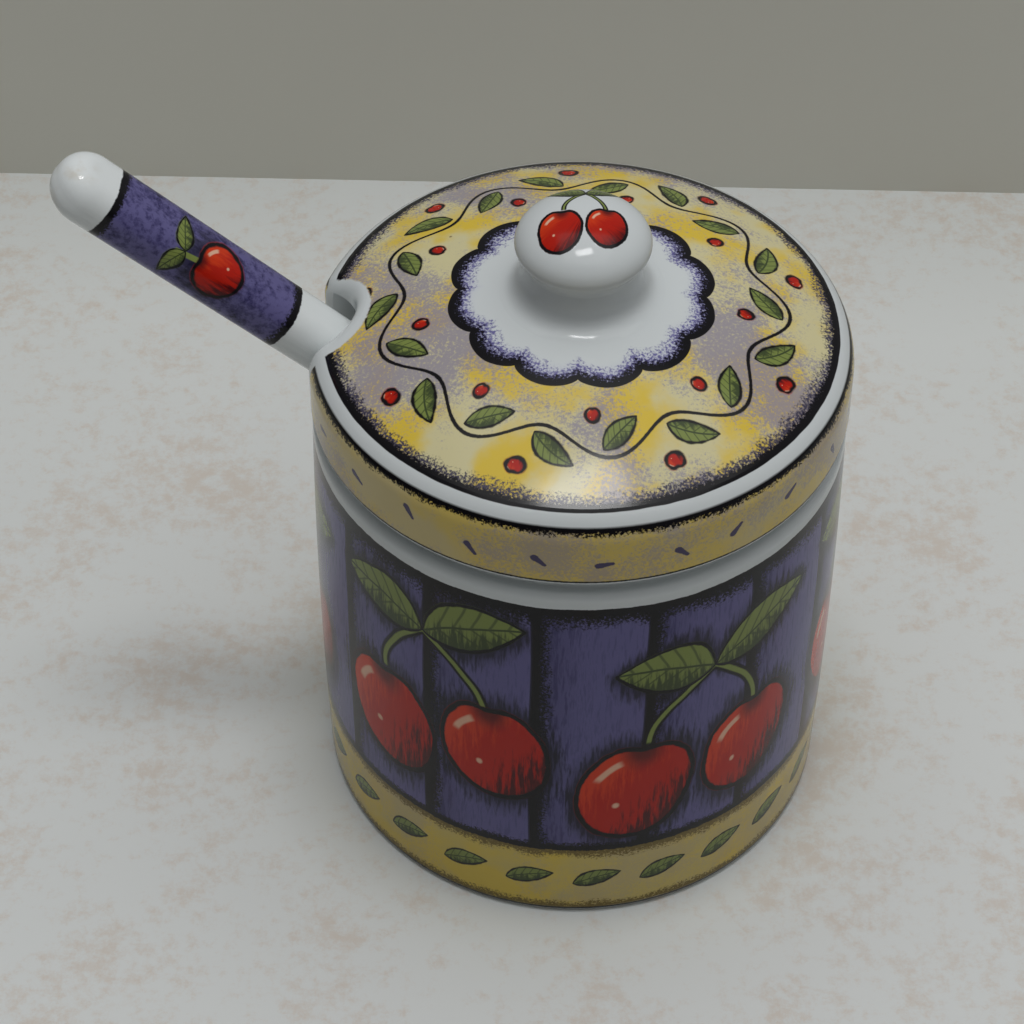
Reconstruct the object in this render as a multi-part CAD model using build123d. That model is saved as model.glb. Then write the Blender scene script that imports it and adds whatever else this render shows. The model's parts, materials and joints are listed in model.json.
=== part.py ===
from build123d import *
import math
import os

# Sizes are in millimetres. +Z is up and the origin is the middle of the foot, on the axis of the pot.

# Pot
POT_H = 79.5          # height of the rim
BODY_R = 42.2         # outside radius of the belly
BELLY_Z = 36.0        # height of the belly
FOOT_TAPER = 0.15     # radius lost from the belly to the foot
TOP_TAPER = 1.0       # radius lost from the belly to the shoulder
SHOULDER_IN = 2.0     # width of the shoulder outside the rim
SHOULDER_FULL = 0.7   # share of that width that is rounded
COLLAR_H = 2.3        # height of the rim over the shoulder
COLLAR_ROUND = 0.4    # hollow rounding between the shoulder and the rim
RIM_W = 2.8           # width of the rim
RIM_INNER = 1.1       # rounding of the inner edge of the rim
RIM_OUTER = 0.7       # rounding of the outer edge of the rim
WALL = 4.1            # wall of the body
FLOOR = 4.8           # floor above the recess in the foot
FLOOR_ROUND = 8.0     # rounding between the floor and the wall
MOUTH_DEPTH = 6.2     # depth of the straight mouth that guides the lid
MOUTH_BLEND = 11.0    # height over which the mouth widens to the body
FOOT_W = 4.4          # width of the ring that the pot stands on
FOOT_ROUND = 1.4      # rounding outside the foot
FOOT_RECESS = 1.5     # depth of the glazed recess inside the foot ring

# Lid
SEAT_GAP = 0.3        # glaze and air between the lid and the rim
LID_OVERHANG = 2.2    # how far the lid reaches past the rim
LID_SIDE = 11.5       # side of the lid, from its seat to the dome
LID_DRAFT = 0.15      # radius lost over the side
DOME_RISE = 9.4       # rise of the dome over the side
LID_EDGE = 5.0        # rounding between the dome and the side
LID_LIP = 0.8         # rounding under the side
LID_WALL = 3.9        # thickness of the dome and the side
LEDGE = 3.4           # thickness of the ledge that rests on the rim
FLANGE_GAP = 0.6      # play of the flange in the mouth
FLANGE_H = 4.5        # height of the flange below the seat
FLANGE_W = 3.0        # thickness of the flange
HOLLOW_ROUND = 2.5    # rounding inside the lid

# Knob, cast with the lid
KNOB_R = 10.1         # radius of the head
KNOB_UP = 5.3         # head above its widest place
KNOB_FULL = 0.55      # fullness of its curve, 0.55 being close to an ellipse
KNOB_STEM = 8.2       # widest place above the top of the dome
KNOB_LOW = 3.3        # head below its widest place
NECK_R = 8.7          # radius of the neck under the head
NECK_ROUND = 3.7      # spread of the neck where it runs out into the dome
CORE_R = 5.2          # radius of the hollow that enters the knob from below
CORE_TOP = 6.4        # cover over that hollow
CORE_TAPER = 1.4      # radius lost over that hollow

# Notch for the spoon
NOTCH_R = 7.0         # radius of the notch
NOTCH_OUT = 0.2       # how far its centre lies inside the edge of the lid
NOTCH_LIP = 2.6       # rounding along its edge
NOTCH_WALL = 3.4      # wall round the notch inside the lid
NOTCH_ROOF = 4.2      # dome left over the way under the notch
NOTCH_STEP = 0.4      # how much narrower than the notch that way is on each side
LID_TURN = -2.0       # turn of the lid about its axis, in degrees

# Spoon
HANDLE_OUT = 55.9     # handle outside the rim
HANDLE_W = 10.9       # width at the outer end
HANDLE_TAPER = 0.5    # taper of each side at that end, in degrees
HANDLE_T = 8.6        # thickness
HANDLE_IN_W = 9.5     # width inside the rim
HANDLE_ROUND = 3.8    # rounding of its long edges
REST_GAP = 0.3        # glaze and air between the handle and the rim
SPOON_NECK_W = 8.8    # width of the neck where it meets the bowl
SPOON_NECK_T = 6.4    # thickness of the neck there
SPOON_NECK_ROUND = 3.0  # rounding of the neck there
SPOON_DROP = 8.5      # drop of the neck below the handle
NECK_RUN = 27.3       # length over which the neck drops
NECK_STEPS = 4        # sections along its drop
BOWL_L = 33.0         # length of the bowl
BOWL_W = 25.0         # width of the bowl
BOWL_D = 12.6         # depth of the bowl outside
BOWL_WALL = 2.6       # wall of the bowl
BOWL_LIP = 1.1        # rounding of the lip of the bowl
LIP_OVER_NECK = 3.0   # height of the lip of the bowl over the neck
BOWL_BLEND = 1.7      # rounding between the neck and the bowl
TIP_GAP = 0.5         # air between the tip of the bowl and the wall
TIP_OVER = 2.0        # height of the tip over the rounding of the floor

# Sizes that follow from those above
shoulder_r = BODY_R - TOP_TAPER
shoulder_z = POT_H - COLLAR_H
rim_r = shoulder_r - SHOULDER_IN
mouth_r = rim_r - RIM_W
inner_r = BODY_R - WALL
floor_z = FOOT_RECESS + FLOOR

seat_z = POT_H + SEAT_GAP
lid_r = rim_r + LID_OVERHANG
lid_top_r = lid_r - LID_DRAFT
dome_z = seat_z + LID_SIDE
apex_z = dome_z + DOME_RISE
dome_r = (lid_top_r**2 + DOME_RISE**2) / (2 * DOME_RISE)
dome_centre = apex_z - dome_r
flange_r = mouth_r - FLANGE_GAP
flange_in = flange_r - FLANGE_W
flange_z = seat_z - FLANGE_H
knob_z = apex_z + KNOB_STEM
notch_x = lid_top_r - NOTCH_OUT


def dome_at(r, depth=0.0):
    """Height of the dome at a radius, or of the surface that lies a depth below it."""
    return dome_centre + math.sqrt((dome_r - depth) ** 2 - r**2)


def dome_slope(r):
    """Direction of the dome at a radius, outwards and down."""
    return (math.sqrt(dome_r**2 - r**2), -r)


def turned(edges, rounds):
    """Solid turned about Z from edges in (radius, height), with its named corners rounded."""
    outline = make_face(edges)
    for corner, radius in rounds:
        vertex = outline.vertices().sort_by_distance((*corner, 0))[0]
        outline = fillet(vertex, radius)
    return revolve(Plane.XZ * outline, Axis.Z)


def make_pot():
    """Body with a rounded shoulder below a collar with a flat rim, and a foot ring round a recess."""
    foot_r = BODY_R - FOOT_TAPER
    ring_r = foot_r - FOOT_ROUND - FOOT_W
    mouth_z = POT_H - MOUTH_DEPTH
    wall_z = mouth_z - MOUTH_BLEND
    edges = [
        Line((0, FOOT_RECESS), (ring_r - FOOT_RECESS, FOOT_RECESS)),
        Line((ring_r - FOOT_RECESS, FOOT_RECESS), (ring_r, 0)),
        Line((ring_r, 0), (foot_r, 0)),
        Line((foot_r, 0), (foot_r, FOOT_ROUND * 2)),
        ThreePointArc((foot_r, FOOT_ROUND * 2), (BODY_R, BELLY_Z), (shoulder_r, shoulder_z)),
        Line((shoulder_r, shoulder_z), (rim_r, shoulder_z)),
        Line((rim_r, shoulder_z), (rim_r, POT_H)),
        Line((rim_r, POT_H), (mouth_r, POT_H)),
        Line((mouth_r, POT_H), (mouth_r, mouth_z)),
        Spline((mouth_r, mouth_z), (inner_r, wall_z), tangents=((0, -1), (0, -1))),
        Line((inner_r, wall_z), (inner_r, floor_z)),
        Line((inner_r, floor_z), (0, floor_z)),
        Line((0, floor_z), (0, FOOT_RECESS)),
    ]
    rounds = [
        ((ring_r - FOOT_RECESS, FOOT_RECESS), FOOT_RECESS),
        ((foot_r, 0), FOOT_ROUND),
        ((shoulder_r, shoulder_z), SHOULDER_IN * SHOULDER_FULL),
        ((rim_r, shoulder_z), COLLAR_ROUND),
        ((rim_r, POT_H), RIM_OUTER),
        ((mouth_r, POT_H), RIM_INNER),
        ((inner_r, floor_z), FLOOR_ROUND),
    ]
    return turned(edges, rounds)


def lid_skin():
    """Outside of the lid as one solid: flange, seat, side, dome and knob."""
    foot_r = NECK_R + NECK_ROUND
    foot_z = dome_at(foot_r)
    crease_z = knob_z - KNOB_LOW
    top_z = knob_z + KNOB_UP
    shoulder = knob_z + KNOB_UP * KNOB_FULL
    slope = dome_slope(foot_r)
    edges = [
        Line((0, flange_z), (flange_r, flange_z)),
        Line((flange_r, flange_z), (flange_r, seat_z)),
        Line((flange_r, seat_z), (lid_r, seat_z)),
        Line((lid_r, seat_z), (lid_top_r, dome_z)),
        RadiusArc((lid_top_r, dome_z), (foot_r, foot_z), -dome_r),
        Spline((foot_r, foot_z), (NECK_R, crease_z), tangents=((-slope[0], -slope[1]), (0, 1))),
        Spline((NECK_R, crease_z), (KNOB_R, knob_z), tangents=((0, 1), (0, 1))),
        Bezier((KNOB_R, knob_z), (KNOB_R, shoulder), (KNOB_R * KNOB_FULL, top_z), (0, top_z)),
        Line((0, top_z), (0, flange_z)),
    ]
    rounds = [
        ((flange_r, flange_z), LID_LIP),
        ((lid_top_r, dome_z), LID_EDGE),
    ]
    return turned(edges, rounds)


def lid_hollow():
    """Space inside the lid, with the core that enters the knob; it runs out below the flange."""
    hollow_r = lid_r - LID_WALL
    under_z = flange_z - LEDGE
    ledge_z = seat_z + LEDGE
    corner_z = dome_at(hollow_r, LID_WALL)
    mouth_z = dome_at(CORE_R, LID_WALL)
    core_r = CORE_R - CORE_TAPER
    core_z = knob_z + KNOB_UP - CORE_TOP
    edges = [
        Line((0, under_z), (flange_in, under_z)),
        Line((flange_in, under_z), (flange_in, ledge_z)),
        Line((flange_in, ledge_z), (hollow_r, ledge_z)),
        Line((hollow_r, ledge_z), (hollow_r, corner_z)),
        RadiusArc((hollow_r, corner_z), (CORE_R, mouth_z), -(dome_r - LID_WALL)),
        Line((CORE_R, mouth_z), (core_r, core_z)),
        Line((core_r, core_z), (0, core_z)),
        Line((0, core_z), (0, under_z)),
    ]
    rounds = [
        ((flange_in, ledge_z), LID_LIP),
        ((hollow_r, ledge_z), LID_LIP),
        ((hollow_r, corner_z), HOLLOW_ROUND),
        ((CORE_R, mouth_z), HOLLOW_ROUND),
        ((core_r, core_z), HOLLOW_ROUND),
    ]
    return turned(edges, rounds)


def upright(radius, low, high):
    """Upright cylinder on the notch's centre."""
    return Pos(-notch_x, 0, (low + high) / 2) * Cylinder(radius, high - low)


def make_lid():
    """Hollow domed lid with a knob, a walled notch in its edge and a flange that is open at the notch."""
    under_z = flange_z - LEDGE
    over_z = apex_z + LEDGE
    skin = lid_skin() - upright(NOTCH_R, under_z, over_z)
    on_notch = [
        edge
        for edge in skin.edges()
        if abs(math.hypot(edge.center().X + notch_x, edge.center().Y) - NOTCH_R) < NOTCH_LIP
        and edge.center().Z > seat_z + LID_LIP
    ]
    skin = fillet(on_notch, NOTCH_LIP)
    under_side = skin.edges().sort_by_distance((lid_r, 0, seat_z))[0]
    skin = fillet(under_side, LID_LIP)

    way_in = flange_in - NOTCH_WALL
    way_z = dome_at(notch_x - NOTCH_R) - NOTCH_ROOF
    way = Pos(-(notch_x + way_in) / 2, 0, (under_z + way_z) / 2) * Box(
        notch_x - way_in, 2 * (NOTCH_R - NOTCH_STEP), way_z - under_z
    )
    hollow = lid_hollow() - upright(NOTCH_R + NOTCH_WALL, under_z, over_z)
    lid = skin - hollow - way
    return Rot(Z=LID_TURN) * lid


def spoon_pose():
    """Slope of the handle in degrees, its reach from the rim to the tip, and its height over the rim.

    The handle leans on the rounded inner edge of the rim, and the tip of the bowl on the wall just over
    the rounding of the floor.
    """
    over = RIM_INNER + REST_GAP + HANDLE_T / 2
    tip = over - SPOON_DROP + SPOON_NECK_T / 2 + LIP_OVER_NECK - BOWL_LIP
    along = mouth_r + RIM_INNER + inner_r - TIP_GAP
    down = POT_H - RIM_INNER - floor_z - FLOOR_ROUND - TIP_OVER
    reach = math.sqrt(along**2 + down**2 - tip**2)
    slope = math.degrees(math.atan2(down, along) + math.atan2(tip, reach))
    return slope, reach, over


def bowl_form(radius, depth, top):
    """Oval cup shape as a solid: half an ellipsoid under the origin and a straight band up to the top."""
    band = BOWL_LIP + LIP_OVER_NECK
    cup = turned(
        [
            EllipticalCenterArc((0, -band), radius, depth - band, start_angle=270, arc_size=90),
            Line((radius, -band), (radius, top)),
            Line((radius, top), (0, top)),
            Line((0, top), (0, -depth)),
        ],
        [],
    )
    return Rot(Z=180) * scale(cup, by=(BOWL_L / BOWL_W, 1, 1))


def spoon_grip(straight_x):
    """Handle along X, from its round outer end to the end of its straight part, with rounded long edges."""
    taper = math.radians(HANDLE_TAPER)
    end_r = HANDLE_W / 2
    end_x = HANDLE_OUT - end_r
    outer = (end_x - end_r * math.sin(taper), end_r * math.cos(taper))
    inner = (straight_x, HANDLE_IN_W / 2)
    plan = make_face([
        ThreePointArc(outer, (HANDLE_OUT, 0), (outer[0], -outer[1])),
        Spline(outer, inner, tangents=((-1, -math.tan(taper)), (-1, 0))),
        Line(inner, (inner[0], -inner[1])),
        Spline((inner[0], -inner[1]), (outer[0], -outer[1]), tangents=((1, 0), (1, -math.tan(taper)))),
    ])
    grip = extrude(Pos(0, 0, -HANDLE_T / 2) * plan, HANDLE_T)
    long_edges = grip.edges().filter_by(Axis.Z, reverse=True).filter_by(Axis.Y, reverse=True)
    return fillet(long_edges, HANDLE_ROUND)


def spoon_neck(straight_x, level_x, bowl_x):
    """Neck that runs on from the handle, drops below it and ends inside the bowl."""
    path = Spline(
        (straight_x, 0, 0), (level_x, 0, -SPOON_DROP), tangents=((-1, 0, 0), (-1, 0, 0))
    )
    sections = []
    for step in range(NECK_STEPS + 1):
        part = step / NECK_STEPS
        place = Plane(origin=path @ part, x_dir=(0, 1, 0), z_dir=path % part)
        sections.append(place * RectangleRounded(
            HANDLE_IN_W + (SPOON_NECK_W - HANDLE_IN_W) * part,
            HANDLE_T + (SPOON_NECK_T - HANDLE_T) * part,
            HANDLE_ROUND + (SPOON_NECK_ROUND - HANDLE_ROUND) * part,
        ))
    inside = Plane(origin=(bowl_x, 0, -SPOON_DROP), x_dir=(0, 1, 0), z_dir=(-1, 0, 0))
    sections.append(inside * RectangleRounded(SPOON_NECK_W, SPOON_NECK_T, SPOON_NECK_ROUND))
    return loft(sections)


def make_spoon():
    """Spoon with a flattened oval handle, a dropped neck and a deep oval bowl, leaning in the pot."""
    slope, reach, over = spoon_pose()
    bowl_x = BOWL_L / 2 - reach
    level_x = bowl_x + BOWL_L / 2 + 3 * BOWL_BLEND
    straight_x = level_x + NECK_RUN
    neck_top = SPOON_NECK_T / 2 - SPOON_DROP
    grip = spoon_grip(straight_x)
    neck = spoon_neck(straight_x, level_x, bowl_x)
    bar = grip + neck
    lip_z = neck_top + LIP_OVER_NECK
    place = Pos(bowl_x, 0, lip_z)
    cup = place * bowl_form(BOWL_W / 2, BOWL_D, 0)
    spoon = bar + cup
    spoon = fillet(new_edges(bar, cup, combined=spoon), BOWL_BLEND)
    spoon -= place * bowl_form(BOWL_W / 2 - BOWL_WALL, BOWL_D - BOWL_WALL, BOWL_D)
    lip_face = spoon.faces().filter_by(Axis.Z).sort_by_distance((bowl_x, 0, lip_z))[0]
    spoon = fillet(lip_face.edges(), BOWL_LIP)
    lean = Plane(
        origin=(-mouth_r - RIM_INNER, 0, POT_H - RIM_INNER),
        x_dir=(-math.cos(math.radians(slope)), 0, math.sin(math.radians(slope))),
        z_dir=(math.sin(math.radians(slope)), 0, math.cos(math.radians(slope))),
    )
    return lean * Pos(0, 0, over) * spoon


os.makedirs("parts", exist_ok=True)
for name, piece in (("pot", make_pot()), ("lid", make_lid()), ("spoon", make_spoon())):
    export_step(piece, f"parts/{name}.step")
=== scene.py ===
import json
import math

import bpy
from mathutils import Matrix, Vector

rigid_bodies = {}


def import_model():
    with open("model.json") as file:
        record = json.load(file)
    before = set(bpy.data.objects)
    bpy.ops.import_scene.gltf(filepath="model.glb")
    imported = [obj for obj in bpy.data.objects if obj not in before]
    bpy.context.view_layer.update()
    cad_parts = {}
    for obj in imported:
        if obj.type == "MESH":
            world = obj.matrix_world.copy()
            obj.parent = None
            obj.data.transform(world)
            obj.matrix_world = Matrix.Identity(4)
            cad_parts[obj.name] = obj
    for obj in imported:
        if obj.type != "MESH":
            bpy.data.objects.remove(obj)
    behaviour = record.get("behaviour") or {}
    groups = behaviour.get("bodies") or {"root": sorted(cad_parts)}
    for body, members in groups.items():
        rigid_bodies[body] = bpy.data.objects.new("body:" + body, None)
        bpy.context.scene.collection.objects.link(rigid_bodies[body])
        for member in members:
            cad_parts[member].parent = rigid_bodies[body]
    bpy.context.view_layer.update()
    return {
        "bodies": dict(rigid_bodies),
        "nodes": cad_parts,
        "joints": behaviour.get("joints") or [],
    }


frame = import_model()

bl_info = {
    "name": "Jam pot glazes",
    "version": (1, 0, 0),
    "blender": (4, 5, 0),
    "location": "View3D > Sidebar > Jam pot",
    "description": "Glazes and paints a jam pot, its lid and its spoon, and sets a stage for them",
    "category": "Object",
}

MM = 1000.0  # millimetres in a metre; the glazes are drawn in millimetres
TURN = 2 * math.pi
SOFT = 0.15  # half the softness of a painted edge
GLAZE_IOR = 1.52
GLAZE_SHINE = 0.2  # mirror shine of the glaze, 0.5 being full
GLAZE_RELIEF = 0.35  # strength of its waves and its orange peel
GLAZE_DEPTH = 0.0004  # depth of its waves in metres
GLINT = (0.78, 0.52, 0.36, 1.0)  # strokes of light on the cherries
IRON = (0.10, 0.05, 0.02, 1.0)  # kiln specks
HANDLE_START = (-33.77, 0.0, 82.71)  # point on the handle's middle line that its band is measured from
HANDLE_FACE = math.radians(-50.0)  # turn of the handle's painted side about its length
SENSOR = 36.0  # width of the camera's sensor in millimetres


# Settings that a user would change

def length(label, words, value):
    """A length property in metres."""
    return bpy.props.FloatProperty(name=label, description=words, default=value, unit="LENGTH", precision=4)


def count(label, words, value):
    """A property for how often something repeats."""
    return bpy.props.IntProperty(name=label, description=words, default=value, min=1)


def colour(label, words, value):
    """A colour property."""
    return bpy.props.FloatVectorProperty(
        name=label, description=words, default=(*value, 1.0), size=4, subtype="COLOR", min=0.0, max=1.0
    )


def spot(label, words, value):
    """A property for a place, or for the sides of something, in metres."""
    return bpy.props.FloatVectorProperty(
        name=label, description=words, default=value, size=len(value), subtype="TRANSLATION", unit="LENGTH",
        precision=4,
    )


def heading(label, words, value):
    """A property for a direction."""
    return bpy.props.FloatVectorProperty(name=label, description=words, default=value, subtype="DIRECTION")


def strength(label, words, value, unit="NONE"):
    """A property for how strong a light is."""
    return bpy.props.FloatProperty(name=label, description=words, default=value, min=0.0, unit=unit)


class JamPotSizes(bpy.types.PropertyGroup):
    """Where the painted bands and sprigs lie."""

    wall_r: length("Wall", "Radius of the pot's side, for lengths along it", 0.0422)
    inside_r: length("Inside", "Radius between the outside and the inside of the pot", 0.0387)
    band_top: length("Base band", "Top of the ochre band at the pot's base", 0.0178)
    band_low: length("Base line", "Foot of the ochre band", 0.0012)
    base_leaves: count("Base leaves", "Leaves round the base band", 24)
    base_leaf_z: length("Base leaf height", "Height of the leaves on the base band", 0.0095)
    bare_r: length("Bare foot", "Inner edge of the bare foot ring", 0.0361)
    frieze_top: length("Frieze", "Top of the striped frieze", 0.0743)
    stripes: count("Stripes", "Shaded stripes round the pot", 15)
    sprigs: count("Sprigs", "Cherry sprigs round the pot", 6)
    sprig_z: length("Sprig height", "Height of the middle of a cherry sprig", 0.0456)
    dome_r: length("Dome", "Radius of the lid's domed surface", 0.0952)
    apex_z: length("Apex", "Height at which the dome would close on the axis", 0.1007)
    ring_r: length("Lid ring", "Outer edge of the black ring on the lid", 0.0388)
    reserve_r: length("Reserve", "Radius of the scalloped white centre of the lid", 0.0186)
    scallops: count("Scallops", "Scallops round the white centre", 12)
    neck_r: length("Neck", "Radius inside which the white centre stays bare", 0.0125)
    wreath_r: length("Wreath", "Middle radius of the leaf wreath on the lid", 0.0288)
    waves: count("Waves", "Waves of the wreath's stem", 9)
    side_r: length("Lid side", "Radius of the lid's side, for lengths along it", 0.0412)
    side_low: length("Side band foot", "Foot of the cream band on the lid's side", 0.0806)
    side_top: length("Side band top", "Top of the cream band on the lid's side", 0.0909)
    seeds: count("Seeds", "Seed strokes round the lid's side", 25)
    seed_z: length("Seed height", "Middle height of the seed strokes", 0.0852)
    notch_x: length("Notch", "Distance of the notch's centre from the axis", 0.04105)
    notch_clear: length("Notch border", "White border round the notch, from its centre", 0.0093)
    knob_z: length("Knob", "Height of the knob's widest place", 0.1089)
    knob_r: length("Knob radius", "Radius inside which the knob is painted", 0.0108)
    handle_low: length("Handle band start", "Start of the indigo band along the handle", 0.0150)
    handle_top: length("Handle band end", "End of the indigo band along the handle", 0.0472)


class JamPotColours(bpy.types.PropertyGroup):
    """Colours of the glaze and the paints."""

    white: colour("White glaze", "Cool white of the clear glazed body", (0.62, 0.655, 0.66))
    # painted light: the spoon's white is paler than the pot's to stand in for the light that the top of its handle
    # catches
    spoon_lit_white: colour("Spoon glaze", "Paler white of the spoon", (0.73, 0.765, 0.765))
    clay: colour("Bare clay", "Unglazed foot ring", (0.62, 0.58, 0.50))
    indigo: colour("Indigo", "Light stripes", (0.122, 0.112, 0.265))
    night: colour("Dark indigo", "Dark stripes", (0.050, 0.045, 0.135))
    ink: colour("Ink", "Outlines and hatching", (0.005, 0.0045, 0.006))
    ochre: colour("Ochre", "Band at the base", (0.58, 0.46, 0.14))
    umber: colour("Umber", "Sponge dots along the edges of the base band", (0.17, 0.12, 0.03))
    tan: colour("Tan", "Ground of the lid's side", (0.58, 0.48, 0.23))
    cream: colour("Cream", "Ground of the lid", (0.63, 0.575, 0.33))
    amber: colour("Amber", "Warm patches", (0.70, 0.50, 0.04))
    lavender: colour("Lavender", "Cool sponged patches", (0.29, 0.265, 0.335))
    smoke: colour("Smoke", "Sponge dots inside the lid's ring", (0.055, 0.05, 0.085))
    violet: colour("Violet", "Sponge dots round the white centre", (0.14, 0.13, 0.32))
    haze: colour("Haze", "Thin wash under these dots", (0.40, 0.40, 0.60))
    seed: colour("Seed", "Seed strokes on the lid's side", (0.060, 0.048, 0.11))
    red: colour("Cherry", "Middle tone of the cherries", (0.44, 0.012, 0.004))
    flame: colour("Cherry light", "Light side of the cherries", (0.61, 0.042, 0.008))
    wine: colour("Cherry dark", "Dark side of the cherries", (0.075, 0.005, 0.006))
    leaf: colour("Leaf", "Light green of the leaves", (0.205, 0.255, 0.065))
    moss: colour("Leaf dark", "Dark green of the leaves", (0.050, 0.070, 0.025))
    tea: colour("Tea", "Faint stain at the end of the handle", (0.42, 0.30, 0.12))


class JamPotStage(bpy.types.PropertyGroup):
    """Camera, lamps and the surface that the pot stands on."""

    camera_place: spot("Camera", "Place of the camera", (0.00413, -0.2893, 0.3573))
    camera_way: heading("View", "Direction that the camera looks in", (-0.0345, 0.6863, -0.7265))
    lens: bpy.props.FloatProperty(
        name="Lens", description="Focal length on a 36 mm sensor", default=91.5, unit="CAMERA"
    )
    span: length("Span", "Width of the worktop and of the wall", 3.0)
    wall_y: length("Wall", "Distance of the wall behind the pot's axis", 0.1456)
    wall_h: length("Wall height", "Height up to which the wall keeps light off", 0.12)
    wall_turn: bpy.props.FloatProperty(
        name="Wall turn", description="Turn of the wall about the upright", default=math.radians(1.1), subtype="ANGLE"
    )
    floor: colour("Floor", "Pale worktop", (0.708, 0.73, 0.718))
    stain: colour("Floor marks", "Faint warm marks in the worktop", (0.66, 0.61, 0.55))
    backdrop: colour("Backdrop", "Plain wall behind the worktop", (0.72, 0.715, 0.64))
    daylight: colour("Daylight", "Colour of the soft light", (0.985, 0.99, 1.0))
    sky: strength("Sky", "Strength of the even light", 0.03)
    glow: strength("Glow", "Strength of the soft light from the bright side of the room", 0.27)
    glow_way: heading("Bright side", "Direction of the bright side of the room", (0.47, 0.31, 0.83))
    top_lamp: strength("Top lamp", "Power of the small lamp overhead, which makes the highlights", 2.3, "POWER")
    top_size: spot("Top lamp size", "Sides of the small lamp", (0.26, 0.15))
    top_place: spot("Top lamp place", "Place of the small lamp", (0.02, -0.045, 1.0))
    wide_lamp: strength("Wide lamp", "Power of the wide soft lamp over the whole stage", 4.9, "POWER")
    wide_size: spot("Wide lamp size", "Sides of the wide lamp", (1.2, 1.2))
    wide_place: spot("Wide lamp place", "Place of the wide lamp", (0.07, 0.0, 1.3))
    aim: spot("Aim", "Point on the pot that both lamps face", (0.0, 0.0, 0.05))


# Drawing with shader nodes

class Field:
    """A number that changes over the glaze, with plain arithmetic that draws math nodes."""

    def __init__(self, brush, socket):
        self.brush = brush
        self.socket = socket

    def __add__(self, other):
        return self.brush.math("ADD", self, other)

    def __radd__(self, other):
        return self.brush.math("ADD", other, self)

    def __sub__(self, other):
        return self.brush.math("SUBTRACT", self, other)

    def __rsub__(self, other):
        return self.brush.math("SUBTRACT", other, self)

    def __mul__(self, other):
        return self.brush.math("MULTIPLY", self, other)

    def __truediv__(self, other):
        return self.brush.math("DIVIDE", self, other)

    def __pow__(self, other):
        return self.brush.math("POWER", self, other)

    def __neg__(self):
        return self.brush.math("MULTIPLY", self, -1.0)

    def __abs__(self):
        return self.brush.math("ABSOLUTE", self)


class Brush:
    """Short calls that draw nodes in one shader tree."""

    def __init__(self, tree):
        self.tree = tree

    def node(self, kind, **settings):
        made = self.tree.nodes.new(kind)
        for name, value in settings.items():
            setattr(made, name, value)
        return made

    def feed(self, slot, value):
        """Links a field or a socket to a slot, or sets the slot's own value."""
        if isinstance(value, Field):
            value = value.socket
        if isinstance(value, bpy.types.NodeSocket):
            self.tree.links.new(value, slot)
        else:
            slot.default_value = value

    def math(self, operation, *values):
        made = self.node("ShaderNodeMath", operation=operation)
        for slot, value in zip(made.inputs, values):
            self.feed(slot, value)
        return Field(self, made.outputs[0])

    def least(self, a, b):
        return self.math("MINIMUM", a, b)

    def most(self, a, b):
        return self.math("MAXIMUM", a, b)

    def fract(self, a):
        return self.math("FRACT", a)

    def root(self, a):
        return self.math("SQRT", a)

    def reach(self, x, y):
        """Length of a vector of two numbers."""
        return self.root(x * x + y * y)

    def turned(self, x, y, angle):
        """Lengths along and across a direction at an angle, which may itself change over the glaze."""
        if isinstance(angle, Field):
            cosine, sine = self.math("COSINE", angle), self.math("SINE", angle)
        else:
            cosine, sine = math.cos(angle), math.sin(angle)
        return x * cosine + y * sine, y * cosine - x * sine

    def ramp(self, value, low, high):
        """Goes smoothly from 0 at low to 1 at high."""
        made = self.node("ShaderNodeMapRange", interpolation_type="SMOOTHSTEP")
        for slot, number in zip(made.inputs, (value, low, high)):
            self.feed(slot, number)
        return Field(self, made.outputs[0])

    def vector(self, x, y, z):
        made = self.node("ShaderNodeCombineXYZ")
        for slot, value in zip(made.inputs, (x, y, z)):
            self.feed(slot, value)
        return made.outputs[0]

    def split(self, vector):
        made = self.node("ShaderNodeSeparateXYZ")
        self.feed(made.inputs[0], vector)
        return [Field(self, out) for out in made.outputs]

    def grown(self, vector, times):
        made = self.node("ShaderNodeVectorMath", operation="SCALE")
        self.feed(made.inputs[0], vector)
        self.feed(made.inputs["Scale"], times)
        return made.outputs[0]

    def noise(self, vector, size, detail=2.0, roughness=0.5):
        """Noise from 0 to 1 whose lumps have a size in the vector's own unit."""
        made = self.node("ShaderNodeTexNoise")
        self.feed(made.inputs["Vector"], vector)
        self.feed(made.inputs["Scale"], 1.0 / size)
        self.feed(made.inputs["Detail"], detail)
        self.feed(made.inputs["Roughness"], roughness)
        return Field(self, made.outputs[0])

    def wander(self, vector, size, detail=2.0, roughness=0.5):
        """The same noise about zero."""
        return self.noise(vector, size, detail, roughness) - 0.5

    def chance(self, cell):
        """A number from 0 to 1 that is different for each whole number."""
        made = self.node("ShaderNodeTexWhiteNoise", noise_dimensions="1D")
        self.feed(made.inputs["W"], cell)
        return Field(self, made.outputs["Value"])

    def tint(self, mask, under, over):
        """The colour under, with the colour over laid on where the mask is."""
        made = self.node("ShaderNodeMix", data_type="RGBA")
        for index, value in ((0, mask), (6, under), (7, over)):
            self.feed(made.inputs[index], value)
        return made.outputs[2]

    def group(self, tree, **values):
        """Places a node group; the keywords are its inputs, with _ for a space."""
        made = self.node("ShaderNodeGroup", node_tree=tree)
        for name, value in values.items():
            self.feed(made.inputs[name.replace("_", " ").capitalize()], value)
        return made

    def value(self, node, name):
        return Field(self, node.outputs[name])


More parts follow.
